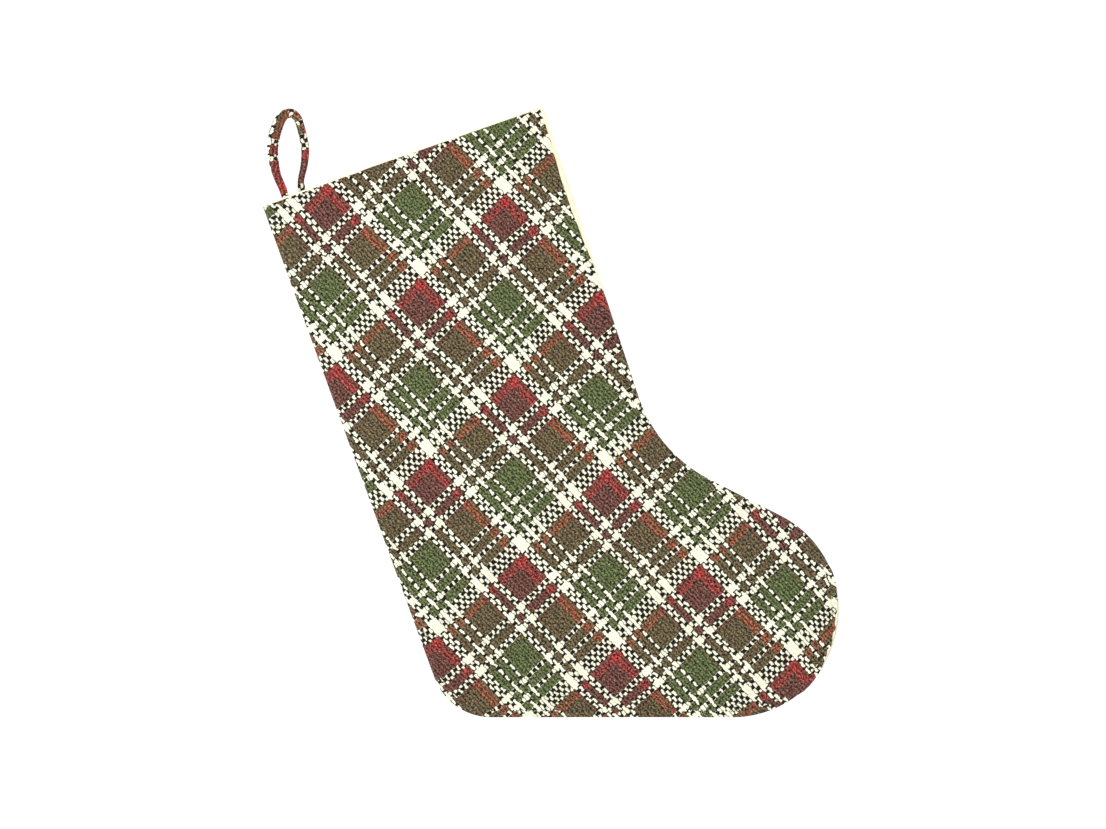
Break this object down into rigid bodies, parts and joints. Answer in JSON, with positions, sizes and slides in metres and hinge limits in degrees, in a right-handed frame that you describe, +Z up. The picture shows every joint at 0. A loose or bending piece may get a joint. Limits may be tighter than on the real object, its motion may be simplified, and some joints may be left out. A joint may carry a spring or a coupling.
{
  "type": "hanging stocking",
  "caption": "Flat sewn stocking with a plaid front, a plain cream back and lining, and a folded plaid hanging loop at the heel-side corner of its mouth.",
  "frame": {"origin": "the point inside the top of the hanging loop that rests on the hook", "axes": "+Z up, +X towards the toe, +Y from the plaid front to the plain back; the leg leans about 20 degrees so that the sole is level"},
  "size_m": [0.4525, 0.0208, 0.4798],
  "materials": {
    "plaid_cotton": "woven plaid of green, maroon, red and cream yarns, matt",
    "cream_cotton": "plain-woven unbleached cotton, matt",
    "lining_cotton": "fine plain-woven cotton, matt",
    "sewing_thread": "spun polyester thread"
  },
  "bodies": {
    "loop": {"hanging_loop": "plaid_cotton", "loop_seam_thread": "sewing_thread"},
    "stocking": {"front_panel": "plaid_cotton", "back_panel": "cream_cotton", "front_lining": "lining_cotton", "back_lining": "lining_cotton", "loop_tails": "plaid_cotton", "side_seam_needle_thread": "sewing_thread", "side_seam_bobbin_thread": "sewing_thread", "lining_seam_needle_thread": "sewing_thread", "lining_seam_bobbin_thread": "sewing_thread", "mouth_seam_thread": "sewing_thread", "loop_tack_thread": "sewing_thread"}
  },
  "joints": [
    {"name": "loop_fold", "type": "hinge", "parent": "loop", "child": "stocking", "pos_m": [0.00224, 0, -0.05692], "axis": [0.9421, 0, 0.3355], "range_deg": [-90, 100]}
  ]
}
